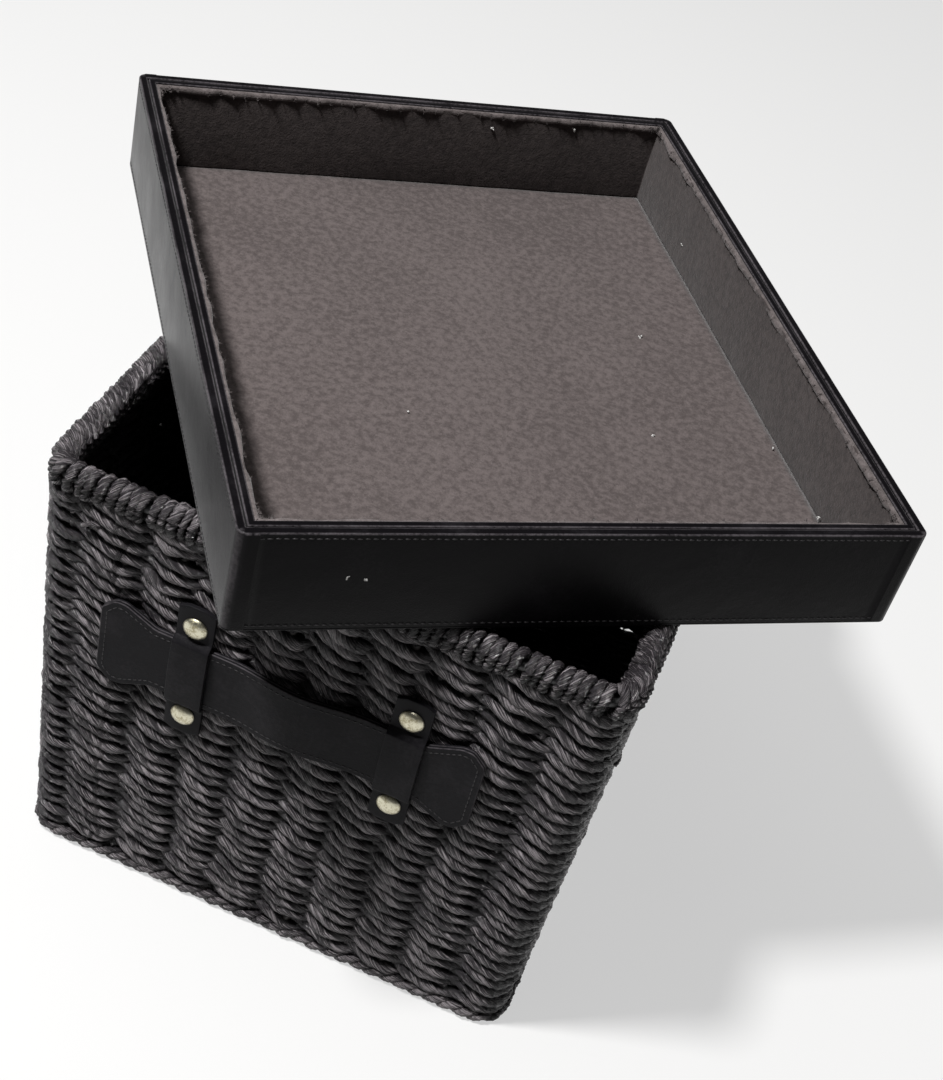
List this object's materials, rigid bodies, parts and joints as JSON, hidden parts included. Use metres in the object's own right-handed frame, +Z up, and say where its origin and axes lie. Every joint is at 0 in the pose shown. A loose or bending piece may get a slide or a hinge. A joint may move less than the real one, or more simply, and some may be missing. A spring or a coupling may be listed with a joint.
{
  "type": "stationery box",
  "caption": "Rectangular woven basket with leather strap handles on its short sides and a loose, suede-lined leather lid lying hollow side up and turned on the rim.",
  "frame": {"origin": "middle of the basket's underside, on the table", "axes": "+Z up, -Y the front: a short side of the basket with a strap handle; X along that handle"},
  "size_m": [0.4436, 0.4582, 0.3003],
  "materials": {
    "weave": "black twisted paper cord, satin, slightly dusty",
    "stakes": "dyed cane, dull",
    "wire": "dark drawn wire",
    "strap_leather": "black smooth leather, satin",
    "lid_leather": "black smooth leather, satin, fine grain",
    "rivets": "pale nickel plate, brushed",
    "board": "grey board",
    "suede": "taupe brushed suede, matt"
  },
  "bodies": {
    "basket": {"woven_walls": "weave", "woven_base": "weave", "rim_wrap": "weave", "base_border": "weave", "rim_wire": "wire", "base_wire": "wire", "corner_posts": "wire", "stakes_front": "stakes", "stakes_back": "stakes", "stakes_left": "stakes", "stakes_right": "stakes", "base_rods": "stakes", "keeper_front_left": "strap_leather", "keeper_front_right": "strap_leather", "keeper_back_left": "strap_leather", "keeper_back_right": "strap_leather", "rivet_heads_front": "rivets", "rivet_heads_back": "rivets", "rivet_posts_front": "rivets", "rivet_posts_back": "rivets", "rivet_washers_front": "rivets", "rivet_washers_back": "rivets"},
    "lid": {"lid_cover_panel": "lid_leather", "lid_top_board": "board", "lid_side_frame": "board", "lid_cover_front": "lid_leather", "lid_cover_back": "lid_leather", "lid_cover_left": "lid_leather", "lid_cover_right": "lid_leather", "lid_liner_board_front": "board", "lid_liner_board_back": "board", "lid_liner_board_left": "board", "lid_liner_board_right": "board", "lid_liner_cover_front": "lid_leather", "lid_liner_cover_back": "lid_leather", "lid_liner_cover_left": "lid_leather", "lid_liner_cover_right": "lid_leather", "lid_lining_floor": "suede", "lid_lining_walls": "suede"},
    "front_handle": {"strap_front": "strap_leather", "strap_backing_front": "strap_leather"},
    "back_handle": {"strap_back": "strap_leather", "strap_backing_back": "strap_leather"}
  },
  "joints": [
    {"name": "lid_lift", "type": "slide", "parent": "basket", "child": "lid", "axis": [0, 0, 1], "range_m": [0, 0.25]},
    {"name": "front_handle_slide", "type": "slide", "parent": "basket", "child": "front_handle", "axis": [1, 0, 0], "range_m": [-0.0007, 0.0086]},
    {"name": "back_handle_slide", "type": "slide", "parent": "basket", "child": "back_handle", "axis": [1, 0, 0], "range_m": [-0.0086, 0.0007]}
  ]
}
